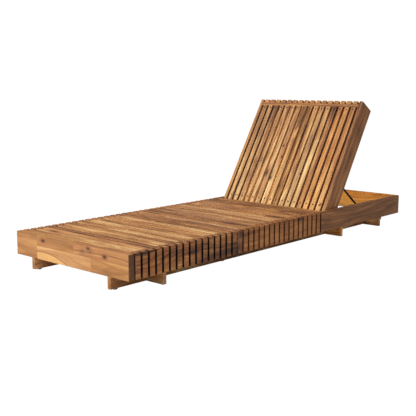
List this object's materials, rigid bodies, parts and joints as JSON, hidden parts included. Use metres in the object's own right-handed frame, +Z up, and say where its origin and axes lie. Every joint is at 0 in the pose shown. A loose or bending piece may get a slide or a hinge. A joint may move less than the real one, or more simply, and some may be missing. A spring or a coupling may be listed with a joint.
{
  "type": "reclining sun lounger",
  "caption": "Low slatted wooden sun lounger on an underframe, with a backrest that tilts up from an open bay and a black steel prop on notched racks.",
  "frame": {"origin": "on the floor, under the middle of the lounger's length and width", "axes": "+Z up; +Y along the length, from the foot board to the head board; +X to the left of a person lying on it"},
  "size_m": [0.684, 2, 0.6663],
  "materials": {
    "foot_board_wood": "oiled, finger-jointed and glued from staves",
    "dark_board_wood": "oiled heartwood",
    "platform_wood": "oiled, grain along each slat",
    "batten_wood": "oiled, upright grain",
    "board_wood": "oiled, grain along each board",
    "rail_wood": "oiled, grain along each rail",
    "underframe_wood": "oiled, grain along each board",
    "back_wood": "oiled, light and dark slats mixed",
    "dowel_wood": "plain turned hardwood",
    "black_steel": "satin black powder coat",
    "black_nylon": "matte",
    "screw_steel": "dark oxide"
  },
  "bodies": {
    "base": {"foot_board": "foot_board_wood", "mid_board": "dark_board_wood", "header_board": "platform_wood", "head_board": "board_wood", "front_rail_left": "rail_wood", "front_rail_right": "rail_wood", "rear_rail_left": "rail_wood", "rear_rail_right": "rail_wood", "bay_side_left": "board_wood", "bay_side_right": "board_wood", "front_battens_left": "batten_wood", "front_battens_right": "batten_wood", "rear_battens_left": "batten_wood", "rear_battens_right": "batten_wood", "front_slats": "platform_wood", "rear_slats": "platform_wood", "front_bearers": "rail_wood", "rear_bearers": "rail_wood", "runner_left": "underframe_wood", "runner_right": "underframe_wood", "cross_board_1": "underframe_wood", "cross_board_2": "underframe_wood", "cross_board_3": "underframe_wood", "cross_board_4": "underframe_wood", "floor_glides": "black_nylon", "rack_left": "underframe_wood", "rack_right": "underframe_wood", "pivot_bushes": "black_nylon", "frame_dowels": "dowel_wood", "frame_screws": "screw_steel"},
    "backrest": {"back_side_left": "board_wood", "back_side_right": "board_wood", "back_head_rail": "back_wood", "back_top_bearer": "rail_wood", "back_mid_bearer": "rail_wood", "back_foot_rail": "rail_wood", "back_head_battens": "back_wood", "back_slat_01": "back_wood", "back_slat_02": "back_wood", "back_slat_03": "back_wood", "back_slat_04": "back_wood", "back_slat_05": "back_wood", "back_slat_06": "back_wood", "back_slat_07": "back_wood", "back_slat_08": "back_wood", "back_slat_09": "back_wood", "back_slat_10": "back_wood", "back_slat_11": "back_wood", "back_slat_12": "back_wood", "back_slat_13": "back_wood", "back_slat_14": "back_wood", "back_slat_15": "back_wood", "back_slat_16": "back_wood", "back_slat_screws": "screw_steel", "back_dowels": "dowel_wood", "pivot_rod": "black_steel", "prop_bushes": "black_nylon"},
    "prop": {"prop_arm_left": "black_steel", "prop_arm_right": "black_steel", "prop_foot_bar": "black_steel"}
  },
  "joints": [
    {"name": "backrest_tilt", "type": "hinge", "parent": "base", "child": "backrest", "pos_m": [0, 0.32059, 0.108], "axis": [1, 0, 0], "range_deg": [-58.1, 0]},
    {"name": "prop_swing", "type": "hinge", "parent": "backrest", "child": "prop", "pos_m": [0, 0.45699, 0.2628], "axis": [1, 0, 0], "range_deg": [0, 94.8]}
  ],
  "couplings": [
    {"joint": "prop_swing", "follows": "backrest_tilt", "ratio": -1.63}
  ]
}
